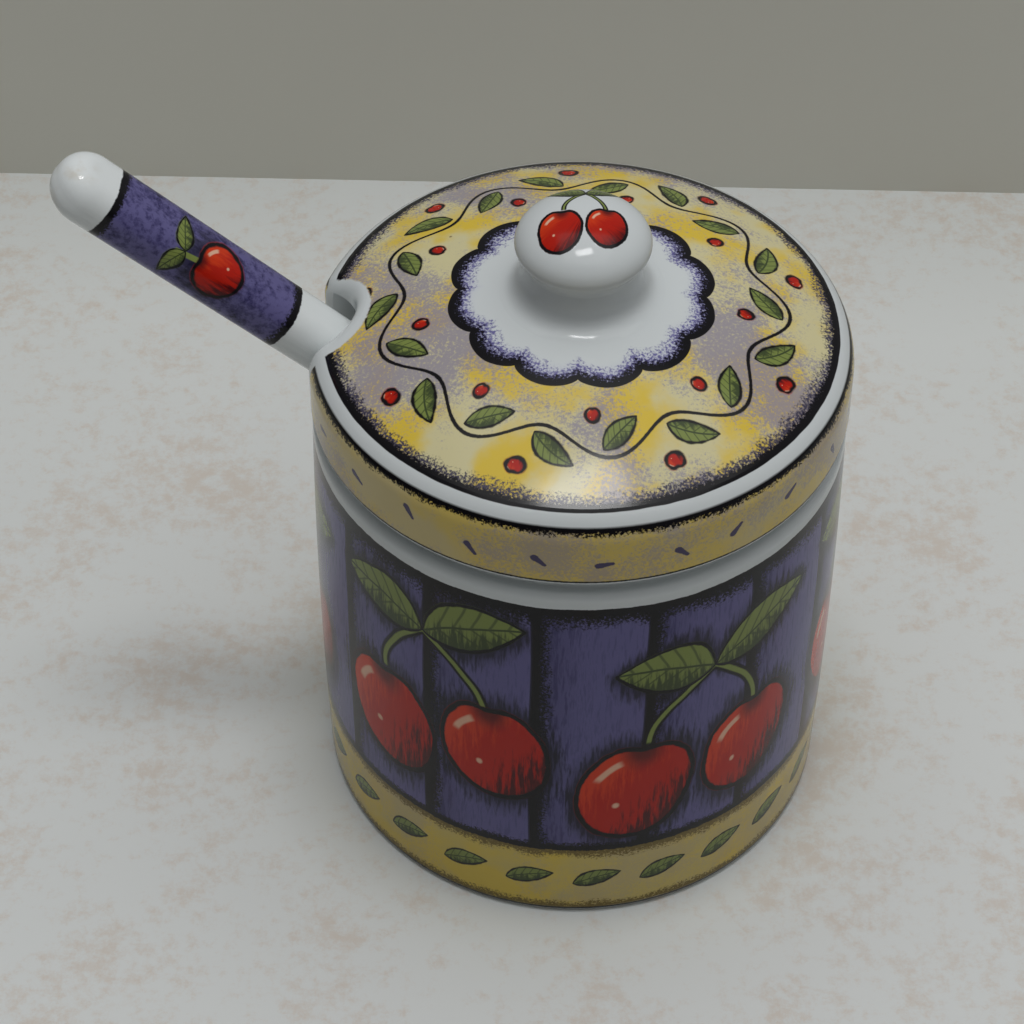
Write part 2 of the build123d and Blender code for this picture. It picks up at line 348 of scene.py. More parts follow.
def new_group(name, numbers=(), vectors=(), colours=(), gives=()):
    """A shader node group with named sockets: its brush, its inputs and its output node."""
    tree = bpy.data.node_groups.new(name, "ShaderNodeTree")
    kinds = [(numbers, "NodeSocketFloat"), (vectors, "NodeSocketVector"), (colours, "NodeSocketColor")]
    for labels, kind in kinds:
        for label in labels:
            tree.interface.new_socket(label, in_out="INPUT", socket_type=kind)
    for label in gives:
        kind = "NodeSocketColor" if label == "Paint" else "NodeSocketFloat"
        tree.interface.new_socket(label, in_out="OUTPUT", socket_type=kind)
    brush = Brush(tree)
    entry = brush.node("NodeGroupInput")
    wells = {label: Field(brush, entry.outputs[label]) for label in numbers}
    wells.update({label: entry.outputs[label] for label in (*vectors, *colours)})
    return brush, wells, brush.node("NodeGroupOutput")


# Effects that the three pieces share

def glaze_surface_group():
    """Slow waves and fine orange peel of a dipped glaze, and how its gloss varies."""
    brush, wells, out = new_group("Glaze surface", ["Ink"], ["Place"], gives=["Height", "Roughness"])
    waves = brush.noise(wells["Place"], size=16.0, detail=1.0)
    peel = brush.noise(wells["Place"], size=2.6)
    brush.feed(out.inputs["Height"], waves * 0.75 + peel * 0.05 + wells["Ink"] * 0.10)
    film = brush.noise(wells["Place"], size=7.0, detail=3.0)
    brush.feed(out.inputs["Roughness"], film * 0.05 + wells["Ink"] * 0.07 + 0.065)
    return brush.tree


def specks_group():
    """Iron specks of the kiln: a small dot in a share of the cells."""
    brush, wells, out = new_group("Kiln specks", ["Share"], ["Place"], gives=["Cover"])
    cell = 7.0
    cells = brush.node("ShaderNodeTexVoronoi")
    brush.feed(cells.inputs["Vector"], wells["Place"])
    brush.feed(cells.inputs["Scale"], 1 / cell)
    chance, size, _ = brush.split(cells.outputs["Color"])
    near = brush.value(cells, "Distance") * cell
    dot = brush.ramp(near, size * 0.26 + 0.14, size * 0.14 + 0.02)
    brush.feed(out.inputs["Cover"], dot * brush.math("LESS_THAN", chance, wells["Share"]))
    return brush.tree


def grain_group():
    """Dry strokes of a brush that runs along one direction."""
    brush, wells, out = new_group("Brush grain", ["Along", "Across", "Depth"], gives=["Grain"])
    place = brush.vector(wells["Along"] * 0.16, wells["Across"] * 1.25, wells["Depth"])
    strokes = brush.noise(place, size=0.9, detail=3.0, roughness=0.65)
    brush.feed(out.inputs["Grain"], brush.ramp(strokes, 0.30, 0.70))
    return brush.tree


def sponged_group():
    """Pale ground with warm washed patches and cool ones dabbed on with a dry sponge."""
    brush, wells, out = new_group(
        "Sponged ground", ["Warmth", "Coolness"], ["Place"], ["Ground", "Warm", "Cool"], ["Paint"]
    )
    place = wells["Place"]
    soft = brush.noise(place, size=3.0, detail=3.0)
    wash = brush.noise(place, size=16.0)
    warm = brush.ramp(wash + soft * 0.20, 0.665, 0.51) * wells["Warmth"]
    paint = brush.tint(warm, wells["Ground"], wells["Warm"])
    drift = brush.noise(place, size=20.0)
    edge = brush.ramp(drift + soft * 0.25, 0.48, 0.78)
    dabs = brush.noise(place, size=0.48, detail=3.0, roughness=0.75)
    cool = brush.ramp(dabs + edge * 0.34, 0.56, 0.84) * brush.ramp(edge, 0.0, 0.2) * wells["Coolness"]
    brush.feed(out.inputs["Paint"], brush.tint(cool, paint, wells["Cool"]))
    return brush.tree


def stipple_group():
    """Dots of a dry sponge, dense along an edge and fewer away from it."""
    brush, wells, out = new_group("Stipple", ["Inward", "Reach"], ["Place"], gives=["Cover"])
    dots = brush.noise(wells["Place"], size=0.40, roughness=0.65)
    drift = brush.noise(wells["Place"], size=6.0)
    near = 1.0 - wells["Inward"] / (wells["Reach"] * (drift * 1.4 + 0.3))
    dense = brush.ramp(dots + near * 0.42, 0.54, 0.80)
    brush.feed(out.inputs["Cover"], dense * brush.ramp(near, 0.0, 0.25))
    return brush.tree


def ragged_line_group():
    """Brushed line that is clean along its outer side and ragged along its inner side."""
    brush, wells, out = new_group("Ragged line", ["Inward", "Width", "Rough"], ["Place"], gives=["Cover"])
    wander = brush.wander(wells["Place"], size=4.0)
    bristle = brush.wander(wells["Place"], size=0.5, detail=3.0, roughness=0.7)
    inner = wells["Inward"] + (wander * 1.5 + bristle * 3.0) * wells["Rough"]
    outer = wells["Inward"] + wander * 0.25
    clean = brush.ramp(outer, -0.07, 0.07)
    ragged = brush.ramp(inner, wells["Width"] + 0.12, wells["Width"] - 0.12)
    brush.feed(out.inputs["Cover"], clean * ragged)
    return brush.tree


def line_group():
    """Line of a worn brush along the place where a distance is zero."""
    brush, wells, out = new_group("Brush line", ["Distance", "Width", "Rough"], ["Place"], gives=["Cover"])
    wander = brush.wander(wells["Place"], size=3.2)
    bristle = brush.wander(wells["Place"], size=0.55, detail=3.0, roughness=0.7)
    away = abs(wells["Distance"]) + (wander * 0.9 + bristle * 2.2) * wells["Rough"]
    half = wells["Width"] * 0.5
    brush.feed(out.inputs["Cover"], brush.ramp(away, half + 0.10, half - 0.10))
    return brush.tree


def berry_group():
    """A round fruit with a dimple on top, as painted with a loaded brush and outlined in ink."""
    brush, wells, out = new_group(
        "Painted berry", ["X", "Y", "Radius", "Line", "Grain"], ["Place"],
        ["Tone", "Light", "Dark", "Ink"], ["Paint", "Cover", "Distance"],
    )
    line = wells["Line"]
    x = wells["X"] / wells["Radius"]
    y = wells["Y"] / wells["Radius"]
    far = brush.reach(x, y)
    angle = brush.math("ARCTAN2", x, y)
    dimple = brush.math("EXPONENT", -((angle * 2.7) ** 2.0))
    away = (far - 1.0 + dimple * 0.15) * wells["Radius"]
    rough = (wells["Grain"] - 0.5) * 0.5
    side = x * 0.62 - y * 0.66
    lit = brush.ramp(side + rough, -0.10, -0.62)
    paint = brush.tint(lit, wells["Tone"], wells["Light"])
    hollow = brush.ramp(brush.reach(x, y - 0.84), 0.52, 0.12)
    shade = brush.most(brush.ramp(side - rough * 1.3, 0.22, 0.80), hollow * 0.9)
    paint = brush.tint(shade, paint, wells["Dark"])
    stroke = brush.ramp(abs(far - 0.66 + angle * 0.06), 0.085, 0.035)
    arc = brush.ramp(abs(angle + 0.86), 0.42, 0.24)
    dot = brush.ramp(brush.reach(x + 0.30, y + 0.28), 0.075, 0.03)
    paint = brush.tint(brush.most(stroke * arc, dot) * 0.85, paint, GLINT)
    nib = brush.wander(wells["Place"], size=1.4)
    edge = brush.ramp(abs(away + 0.15) + nib * 0.5, line + 0.22, line - 0.12)
    paint = brush.tint(edge, paint, wells["Ink"])
    brush.feed(out.inputs["Paint"], paint)
    brush.feed(out.inputs["Cover"], brush.most(brush.ramp(away, 0.18, -0.12), edge))
    brush.feed(out.inputs["Distance"], away)
    return brush.tree


def leaf_group():
    """A pointed leaf along one direction, with a rib, side veins and an ink outline."""
    brush, wells, out = new_group(
        "Painted leaf", ["Along", "Across", "Long", "Wide", "Line", "Grain"], ["Place"],
        ["Tone", "Dark", "Ink"], ["Paint", "Cover", "Distance"],
    )
    along, long, wide, line = (wells[name] for name in ("Along", "Long", "Wide", "Line"))
    t = along / long
    inside = brush.most(t * (1.0 - t) * 4.0, 0.0)
    belly = (inside ** 0.85) * (1.22 - t * 0.44) * wide
    across = wells["Across"] - inside * wide * 0.22
    past = brush.most(brush.most(-along, along - long), 0.0)
    away = abs(across) - belly + past * 2.0
    rough = (wells["Grain"] - 0.5) * 0.9
    half = across / wide
    shade = brush.ramp(half * -0.9 - t * 0.5 + rough, -0.35, 0.40)
    paint = brush.tint(shade, wells["Tone"], wells["Dark"])
    veins = brush.fract((along - abs(across) * 0.9) / (long * 0.17))
    vein = brush.ramp(abs(veins - 0.5), 0.36, 0.46) * 0.7
    rib = brush.ramp(abs(across), line * 0.9, line * 0.4)
    paint = brush.tint(brush.most(vein, rib), paint, wells["Dark"])
    nib = brush.wander(wells["Place"], size=1.3)
    edge = brush.ramp(abs(away + 0.12) + nib * 0.45, line + 0.18, line - 0.12) * brush.ramp(past, 0.9, 0.3)
    paint = brush.tint(edge, paint, wells["Ink"])
    brush.feed(out.inputs["Paint"], paint)
    brush.feed(out.inputs["Cover"], brush.most(brush.ramp(away, 0.15, -0.10), edge))
    brush.feed(out.inputs["Distance"], away)
    return brush.tree


def sprig_group(berry, leaf):
    """A pair of cherries on forked stems under two leaves, about 42 across and 44 high."""
    shades = ["Red", "Flame", "Wine", "Leaf", "Moss", "Ink"]
    brush, wells, out = new_group(
        "Cherry sprig", ["X", "Y", "Line", "Grain"], ["Place"], shades, ["Paint", "Cover", "Shadow"]
    )
    place, line, grain = wells["Place"], wells["Line"], wells["Grain"]
    sway = 1.2
    x = wells["X"] + brush.wander(place, size=9.0, detail=1.0) * sway
    y = wells["Y"] + brush.wander(brush.grown(place, 1.13), size=9.0, detail=1.0) * sway
    side = brush.math("SIGN", x)
    half = abs(x)

    foot, fork, spread, rise = 0.6, 15.3, 9.9, 14.8
    t = brush.least(brush.most((y - foot) / rise, 0.0), 1.0)
    bow = (1.0 - t * t) * spread
    stem = abs(half - bow) / brush.root(t * t * (2.0 * spread / rise) ** 2 + 1.0)
    span = brush.ramp(y, foot - 1.0, foot) * brush.ramp(y, fork + 1.3, fork + 0.3)
    stalk = brush.ramp(stem, 0.62, 0.30) * span
    rim = brush.ramp(stem, line + 0.85, line + 0.45) * span
    paint = brush.tint(stalk, wells["Ink"], wells["Leaf"])

    along, across = brush.turned(half, y - fork, math.radians(15.8))
    wood = brush.group(
        leaf, along=along, across=across - side * half * 0.10, long=side * 1.2 + 19.4, wide=5.2, line=line * 0.85,
        grain=grain, place=place, tone=wells["Leaf"], dark=wells["Moss"], ink=wells["Ink"],
    )
    fruit = brush.group(
        berry, x=x - side * 10.7, y=(y + 10.4 - side * 1.5) / 1.26, radius=9.9 - side * 0.3, line=line, grain=grain,
        place=place, tone=wells["Red"], light=wells["Flame"], dark=wells["Wine"], ink=wells["Ink"],
    )
    cover = rim
    for made in (wood, fruit):
        on = brush.value(made, "Cover")
        paint = brush.tint(on, paint, made.outputs["Paint"])
        cover = brush.most(cover, on)
    near = brush.least(brush.value(wood, "Distance"), brush.value(fruit, "Distance"))

    brush.feed(out.inputs["Paint"], paint)
    brush.feed(out.inputs["Cover"], cover)
    brush.feed(out.inputs["Shadow"], brush.ramp(near + (grain - 0.5) * 3.0, 4.2, 0.4))
    return brush.tree


def shared_groups():
    """All effects that more than one piece uses, by name."""
    berry = berry_group()
    leaf = leaf_group()
    return {
        "surface": glaze_surface_group(),
        "specks": specks_group(),
        "grain": grain_group(),
        "sponged": sponged_group(),
        "line": line_group(),
        "ragged": ragged_line_group(),
        "stipple": stipple_group(),
        "berry": berry,
        "leaf": leaf,
        "sprig": sprig_group(berry, leaf),
    }


# Steps that the three glazes share

class Glaze:
    """A glazed and painted material that is being drawn, one layer of paint after another."""

    def __init__(self, name, groups):
        self.material = bpy.data.materials.new(name)
        self.material.use_nodes = True
        tree = self.material.node_tree
        tree.nodes.clear()
        self.groups = groups
        self.tints = bpy.context.scene.jam_pot_colours
        self.brush = Brush(tree)
        self.shader = self.brush.node("ShaderNodeBsdfPrincipled")
        self.shader.inputs["IOR"].default_value = GLAZE_IOR
        self.shader.inputs["Specular IOR Level"].default_value = GLAZE_SHINE
        tree.links.new(self.shader.outputs[0], self.brush.node("ShaderNodeOutputMaterial").inputs[0])
        where = self.brush.node("ShaderNodeTexCoord")
        self.place = self.brush.grown(where.outputs["Object"], MM)
        self.paint = tuple(self.tints.white)
        self.ink = None

    def lay(self, mask, paint, ink=True):
        """Lays a paint over what is there, and keeps where paint lies."""
        paint = paint if isinstance(paint, bpy.types.NodeSocket) else tuple(paint)
        self.paint = self.brush.tint(mask, self.paint, paint)
        if ink:
            self.ink = mask if self.ink is None else self.brush.most(self.ink, mask)

    def line(self, distance, width, rough, within=None, paint=None):
        """Lays a line, of ink if nothing else is named, where a distance is zero."""
        made = self.brush.group(
            self.groups["line"], distance=distance, width=width, rough=rough, place=self.place
        )
        cover = self.brush.value(made, "Cover")
        self.lay(cover if within is None else cover * within, self.tints.ink if paint is None else paint)

    def ragged(self, inward, width, rough, within):
        """Lays an ink line that is clean where inward is zero and ragged on its far side."""
        made = self.brush.group(
            self.groups["ragged"], inward=inward, width=width, rough=rough, place=self.place
        )
        self.lay(self.brush.value(made, "Cover") * within, self.tints.ink)

    def stipple(self, inward, reach, within, paint):
        """Lays sponge dots that thin out with the distance inward from an edge."""
        made = self.brush.group(self.groups["stipple"], inward=inward, reach=reach, place=self.place)
        self.lay(self.brush.value(made, "Cover") * within, paint)

    def fray(self, size, times):
        """How far a dry brush strays from a painted edge."""
        return self.brush.wander(self.place, size, detail=3.0, roughness=0.65) * times

    def grain(self, along, across, depth):
        """Brush strokes along one direction."""
        made = self.brush.group(self.groups["grain"], along=along, across=across, depth=depth)
        return self.brush.value(made, "Grain")

    def sponged(self, ground, warmth, coolness, place=None):
        """A ground with sponged patches, taken from another place where one is given."""
        made = self.brush.group(
            self.groups["sponged"], place=place or self.place, ground=tuple(ground), warm=tuple(self.tints.amber),
            cool=tuple(self.tints.lavender), warmth=warmth, coolness=coolness,
        )
        return made.outputs["Paint"]

    def sprig(self, x, y, size, line, grain):
        """A cherry sprig at one scale: its group node."""
        tints = self.tints
        return self.brush.group(
            self.groups["sprig"], x=x / size, y=y / size, line=line, grain=grain,
            place=self.brush.grown(self.place, 1.0 / size), red=tuple(tints.red), flame=tuple(tints.flame),
            wine=tuple(tints.wine), leaf=tuple(tints.leaf), moss=tuple(tints.moss), ink=tuple(tints.ink),
        )

    def leaf(self, along, across, long, wide, line, grain):
        """A leaf: its group node."""
        return self.brush.group(
            self.groups["leaf"], along=along, across=across, long=long, wide=wide, line=line, grain=grain,
            place=self.place, tone=tuple(self.tints.leaf), dark=tuple(self.tints.moss), ink=tuple(self.tints.ink),
        )

    def berry(self, x, y, radius, line, grain):
        """A cherry without its stem: its group node."""
        return self.brush.group(
            self.groups["berry"], x=x, y=y, radius=radius, line=line, grain=grain, place=self.place,
            tone=tuple(self.tints.red), light=tuple(self.tints.flame), dark=tuple(self.tints.wine),
            ink=tuple(self.tints.ink),
        )

    def stamp(self, node, within):
        """Lays the paint of a placed group where it covers."""
        self.lay(self.brush.value(node, "Cover") * within, node.outputs["Paint"])

    def fire(self, share, bare=None):
        """Adds the kiln's specks, the gloss and the waves of the glaze, and ends the material."""
        brush = self.brush
        specks = brush.group(self.groups["specks"], place=self.place, share=share)
        self.paint = brush.tint(brush.value(specks, "Cover") * 0.75, self.paint, IRON)
        surface = brush.group(self.groups["surface"], place=self.place, ink=self.ink)
        gloss = brush.value(surface, "Roughness")
        if bare is not None:
            self.paint = brush.tint(bare, self.paint, tuple(self.tints.clay))
            gloss = gloss + bare * 0.75
        brush.feed(self.shader.inputs["Base Color"], self.paint)
        brush.feed(self.shader.inputs["Roughness"], gloss)
        bump = brush.node("ShaderNodeBump")
        bump.inputs["Strength"].default_value = GLAZE_RELIEF
        bump.inputs["Distance"].default_value = GLAZE_DEPTH
        brush.feed(bump.inputs["Height"], brush.value(surface, "Height"))
        brush.feed(self.shader.inputs["Normal"], bump.outputs[0])
        return self.material


def dress(node, material):
    """Gives a CAD node its material."""
    slots = frame["nodes"][node].material_slots
    if not slots:
        raise RuntimeError(f"{node} has no material slot")
    for slot in slots:
        slot.material = material


# The three glazes

def pot_glaze(groups, sizes):
    """Striped frieze with cherry sprigs over an ochre band, on white, with a bare foot ring."""
    glaze = Glaze("pot_painted_glaze", groups)
    brush, tints = glaze.brush, glaze.tints
    x, y, z = brush.split(glaze.place)
    r = brush.reach(x, y)
    angle = brush.math("ARCTAN2", x, -y)
    wall = sizes.wall_r * MM
    inside = sizes.inside_r * MM
    outside = brush.ramp(r, inside - 0.1, inside + 0.1)
    grain = glaze.grain(z, angle * wall, r * 0.02)
    fray = glaze.fray(1.1, 1.1) + brush.wander(glaze.place, size=11.0, detail=1.0) * 1.4
    low, high = sizes.band_top * MM + fray * 0.5, sizes.frieze_top * MM + fray * 0.3

    frieze = brush.ramp(z - low, -SOFT, SOFT) * brush.ramp(z - high, SOFT, -SOFT) * outside
    pitch = TURN * wall / sizes.stripes
    sway = brush.wander(glaze.place, size=24.0, detail=1.0) * 0.10
    first = 0.32
    across = brush.fract(angle * (sizes.stripes / TURN) + sway + first) * pitch
    light = brush.ramp(across + (grain - 0.5) * 7.0, 0.5, 8.5)
    ground = brush.tint(light, tuple(tints.night), tuple(tints.indigo))
    ground = brush.tint(brush.ramp(grain, 0.50, 1.0) * 0.40, ground, tuple(tints.night))
    glaze.lay(frieze, ground)
    glaze.stipple(across - 0.6, reach=2.8, within=frieze, paint=tints.ink)
    glaze.stipple(high - z - 0.6, reach=3.8, within=frieze, paint=tints.ink)
    glaze.stipple(z - low - 0.3, reach=1.6, within=frieze, paint=tints.ink)
    seam = brush.most(brush.ramp(across + fray * 0.3, 1.5, 0.8), brush.ramp(pitch - across, 0.40, 0.15))
    glaze.lay(frieze * seam * 0.9, tints.ink)

    step = TURN * wall / sizes.sprigs
    beat = angle * (sizes.sprigs / TURN)
    odd = brush.math("PINGPONG", brush.math("FLOOR", beat), 1.0) - 0.5
    up = z - sizes.sprig_z * MM - odd * 5.4
    lean = up * odd * 0.20
    sprig = glaze.sprig((brush.fract(beat) - 0.5) * step + lean, up, size=0.92, line=0.43, grain=grain)
    glaze.lay(frieze * brush.value(sprig, "Shadow") * 0.85, tints.ink)
    glaze.stamp(sprig, frieze)

    foot = sizes.band_low * MM
    band = brush.ramp(z + fray * 0.25, foot, foot + 0.5) * brush.ramp(z - low, SOFT, -SOFT) * outside
    glaze.lay(band, glaze.sponged(tints.ochre, warmth=0.6, coolness=0.25))
    glaze.stipple(low - z - 0.5, reach=2.6, within=band, paint=tints.umber)
    glaze.stipple(z - foot - 0.2, reach=2.2, within=band, paint=tints.umber)
    step = TURN * wall / sizes.base_leaves
    aside = (brush.fract(angle * (sizes.base_leaves / TURN)) - 0.5) * step
    along, across = brush.turned(aside, z - sizes.base_leaf_z * MM, math.radians(20.0))
    long = 8.4
    glaze.stamp(glaze.leaf(along + long / 2, across, long, wide=1.95, line=0.18, grain=grain), band)

    glaze.line(z - low, width=0.95, rough=0.22, within=outside)
    glaze.ragged(high - z + 0.3, width=1.2, rough=0.45, within=outside)
    glaze.line(z - foot, width=0.55, rough=0.12, within=outside)
    ring = sizes.bare_r * MM
    bare = brush.ramp(z, 0.45, 0.20) * brush.ramp(r, ring - 0.2, ring + 0.2)
    return glaze.fire(share=0.05, bare=bare)


def lid_glaze(groups, sizes):
    """Cream sponged dome with a leaf wreath round a scalloped white centre, and a cream side."""
    glaze = Glaze("lid_painted_glaze", groups)
    brush, tints = glaze.brush, glaze.tints
    x, y, z = brush.split(glaze.place)
    r = brush.reach(x, y)
    angle = brush.math("ARCTAN2", x, -y)
    dome = sizes.dome_r * MM
    above = brush.reach(r, z - sizes.apex_z * MM + dome) - dome
    skin = brush.ramp(above, -1.6, -1.4)
    notch = brush.reach(x + sizes.notch_x * MM, y) - sizes.notch_clear * MM
    fray = glaze.fray(0.9, 1.2)
    clear = brush.ramp(notch + fray * 0.5, -0.1, 0.3)
    grain = glaze.grain(r, angle * 30.0, 0.0)

    ring = sizes.ring_r * MM
    lobes = abs(brush.math("SINE", angle * (sizes.scallops / 2.0))) ** 0.7
    scallop = r - sizes.reserve_r * MM - lobes * 1.7 + 0.6
    top = skin * clear * brush.ramp(r, ring - 0.2, ring - 0.6) * brush.ramp(scallop, -0.2, 0.2)
    aside = 60.0
    patches = brush.vector(x + aside, y + aside, z)
    glaze.lay(top, glaze.sponged(tints.cream, warmth=0.95, coolness=0.85, place=patches))
    glaze.stipple(ring - r - 0.5, reach=2.7, within=top, paint=tints.smoke)

    wreath = sizes.wreath_r * MM
    stem = r - wreath - brush.math("SINE", angle * sizes.waves) * 2.3
    glaze.line(stem, width=0.60, rough=0.10, within=top)
    leaves = 2.0 * sizes.waves
    beat = angle * (leaves / TURN)
    odd = brush.math("PINGPONG", brush.math("FLOOR", beat), 1.0) * 2.0 - 1.0
    across = (brush.fract(beat) - 0.5) * (TURN * wreath / leaves)
    out = (r - wreath) * odd
    along, aside = brush.turned(across, out, math.atan2(0.6, 0.8))
    glaze.stamp(glaze.leaf(along + 1.6, aside + 0.2, long=7.6, wide=1.75, line=0.20, grain=grain), top)
    glaze.stamp(glaze.berry(across + 2.3, out - 4.4, radius=1.35, line=0.22, grain=grain), top)

    neck = sizes.neck_r * MM
    spread = brush.ramp(r, neck - 0.5, neck + 0.5)
    centre = skin * brush.ramp(scallop, 0.3, -0.1) * spread
    glaze.lay(centre * brush.ramp(-scallop, 4.2, 0.4) * 0.45, tints.haze, False)
    glaze.stipple(-scallop - 0.3, reach=3.8, within=centre, paint=tints.violet)
    glaze.stipple(-scallop - 0.2, reach=2.2, within=centre, paint=tints.ink)
    glaze.ragged(0.5 - scallop, width=0.85, rough=0.30, within=skin * spread)
    glaze.stipple(ring - r - 0.7, reach=0.9, within=top, paint=tints.ink)
    glaze.ragged(ring - r, width=0.85, rough=0.42, within=skin * clear)

    wall = sizes.side_r * MM
    low, high = sizes.side_low * MM, sizes.side_top * MM
    side = brush.ramp(r, wall - 1.0, wall - 0.7) * clear
    band = side * brush.ramp(z + fray * 0.2, low, low + 0.25) * brush.ramp(z + fray * 0.3, high, high - 0.25)
    glaze.lay(band, glaze.sponged(tints.tan, warmth=0.55, coolness=0.6))
    glaze.stipple(high - z - 0.3, reach=1.2, within=band, paint=tints.ink)
    beat = angle * (sizes.seeds / TURN)
    cell = brush.math("FLOOR", beat)
    lean = brush.chance(cell) * 2.2 - 1.1
    across = (brush.fract(beat) - 0.5) * (TURN * wall / sizes.seeds) + lean
    up = z - sizes.seed_z * MM - (brush.chance(cell + 40.0) - 0.5) * 2.6
    along, aside = brush.turned(across, up, lean)
    seed = brush.reach(brush.most(abs(along) - 1.0, 0.0), aside) + along * 0.14
    glaze.line(seed, width=0.85, rough=0.14, within=band, paint=tints.seed)
    glaze.ragged(high - z + 0.2, width=0.70, rough=0.38, within=side)
    glaze.line(z - low - 0.1, width=0.34, rough=0.10, within=side)

    knob_z, knob_r = sizes.knob_z * MM, sizes.knob_r * MM
    knob = brush.ramp(z, knob_z - 1.0, knob_z + 0.5) * brush.ramp(r, knob_r + 0.2, knob_r - 0.2)
    glaze.stamp(glaze.sprig(x, y - 0.9, size=0.31, line=0.62, grain=grain), knob)
    return glaze.fire(share=0.10)


def spoon_glaze(groups, sizes):
    """White, with an indigo band between ink lines on the handle and a cherry on the side that shows."""
    glaze = Glaze("spoon_painted_glaze", groups)
    brush, tints = glaze.brush, glaze.tints
    # painted light: the spoon starts from a paler white than the pot, standing in for the light on its handle
    glaze.paint = tuple(tints.spoon_lit_white)
    slide = next(joint for joint in frame["joints"] if joint["child"] == "spoon")
    way = Vector(slide["axis"]).normalized()
    tilt = brush.node("ShaderNodeMapping", vector_type="TEXTURE")
    tilt.inputs["Location"].default_value = HANDLE_START
    tilt.inputs["Rotation"].default_value = (0.0, -math.asin(way.z), math.pi)
    brush.feed(tilt.inputs["Vector"], glaze.place)
    along, across, up = brush.split(tilt.outputs[0])
    ends = along + glaze.fray(0.9, 0.9) * 0.5
    low, high = sizes.handle_low * MM, sizes.handle_top * MM
    band = brush.ramp(ends, low, low + 0.3) * brush.ramp(ends, high, high - 0.3)

    mottle = brush.noise(glaze.place, size=1.1, detail=3.0, roughness=0.7)
    patch = brush.wander(glaze.place, size=5.0)
    ground = brush.tint(brush.ramp(mottle + patch * 0.5, 0.66, 0.40), tuple(tints.night), tuple(tints.indigo))
    ground = brush.tint(brush.ramp(mottle + patch * 0.4, 0.62, 0.76) * 0.8, ground, tuple(tints.ink))
    glaze.lay(band, ground)
    glaze.stipple(along - low - 0.3, reach=1.2, within=band, paint=tints.ink)
    glaze.stipple(high - along - 0.3, reach=1.2, within=band, paint=tints.ink)

    side, face = brush.turned(across, up, HANDLE_FACE)
    shown = band * brush.ramp(face, 0.4, 1.0)
    rise = along - (low + high) / 2
    grain = glaze.grain(rise, side, 0.0)
    shade = brush.ramp(brush.reach(side, rise * 0.8 + 1.0) + (grain - 0.5) * 1.5, 5.2, 3.4)
    glaze.lay(shown * shade * 0.7, tints.ink)
    stem = brush.ramp(abs(side - rise * 0.12), 0.50, 0.34) * brush.ramp(rise, 5.4, 5.0) * brush.ramp(rise, 0.2, 0.6)
    glaze.lay(shown * stem, tints.leaf)
    for hand in (-1.0, 1.0):
        reach, wide = brush.turned(side * hand, rise - 3.6, math.radians(20.0))
        glaze.stamp(glaze.leaf(reach, wide, long=4.8, wide=1.5, line=0.16, grain=grain), shown)
    glaze.stamp(glaze.berry(side, (rise + 2.3) / 1.06, radius=3.9, line=0.24, grain=grain), shown)

    for end in (low, high):
        glaze.line(along - end, width=0.75, rough=0.20)
    stain = brush.ramp(brush.reach(along - 53.5, across - 1.5), 3.6, 0.4)
    stain = stain * brush.ramp(brush.noise(glaze.place, size=2.4, detail=3.0), 0.42, 0.75)
    glaze.lay(stain * 0.35, tints.tea, False)
    return glaze.fire(share=0.08)


# Pieces

SHARED = {}  # the node groups of the glazes, made once the classes are registered


class JAMPOT_OT_pot(bpy.types.Operator):
    """Glaze and paint the pot"""

    bl_idname = "jampot.pot"
    bl_label = "Glaze pot"

    def execute(self, context):
        dress("pot", pot_glaze(SHARED, context.scene.jam_pot_sizes))
        return {"FINISHED"}


class JAMPOT_OT_lid(bpy.types.Operator):
    """Glaze and paint the lid with its knob"""

    bl_idname = "jampot.lid"
    bl_label = "Glaze lid"

    def execute(self, context):
        dress("lid", lid_glaze(SHARED, context.scene.jam_pot_sizes))
        return {"FINISHED"}


class JAMPOT_OT_spoon(bpy.types.Operator):
    """Glaze and paint the spoon"""

    bl_idname = "jampot.spoon"
    bl_label = "Glaze spoon"

    def execute(self, context):
        dress("spoon", spoon_glaze(SHARED, context.scene.jam_pot_sizes))
        return {"FINISHED"}


# Stage

def stage_material(name, roughness):
    """A material of the stage: itself, its brush, its shader and its place in millimetres."""
    material = bpy.data.materials.new(name)
    material.use_nodes = True
    brush = Brush(material.node_tree)
    shader = material.node_tree.nodes["Principled BSDF"]
    shader.inputs["Roughness"].default_value = roughness
    return material, brush, shader, brush.grown(brush.node("ShaderNodeTexCoord").outputs["Object"], MM)


def worktop_material(settings):
    """Pale worktop with faint warm marks."""
    material, brush, shader, place = stage_material("worktop", 0.55)
    clouds = brush.noise(place, size=30.0, detail=4.0, roughness=0.6)
    flecks = brush.noise(place, size=3.6, detail=4.0, roughness=0.75)
    marks = brush.ramp(clouds * 0.55 + flecks * 0.65, 0.56, 0.76)
    brush.feed(shader.inputs["Base Color"], brush.tint(marks, tuple(settings.floor), tuple(settings.stain)))
    return material


def backdrop_material(name, settings, for_camera=False):
    """Plain wall that is clear from behind, and clear to all but the camera where that is asked."""
    material, brush, shader, place = stage_material(name, 0.9)
    shade = brush.noise(place, size=120.0)
    dim = tuple(channel * 0.92 for channel in settings.backdrop)
    brush.feed(shader.inputs["Base Color"], brush.tint(shade, tuple(settings.backdrop), dim))
    hidden = brush.value(brush.node("ShaderNodeNewGeometry"), "Backfacing")
    if for_camera:
        hidden = brush.most(hidden, 1.0 - brush.value(brush.node("ShaderNodeLightPath"), "Is Camera Ray"))
    choice = brush.node("ShaderNodeMixShader")
    brush.feed(choice.inputs[0], hidden)
    brush.feed(choice.inputs[1], shader.outputs[0])
    brush.feed(choice.inputs[2], brush.node("ShaderNodeBsdfTransparent").outputs[0])
    brush.feed(material.node_tree.nodes["Material Output"].inputs[0], choice.outputs[0])
    return material


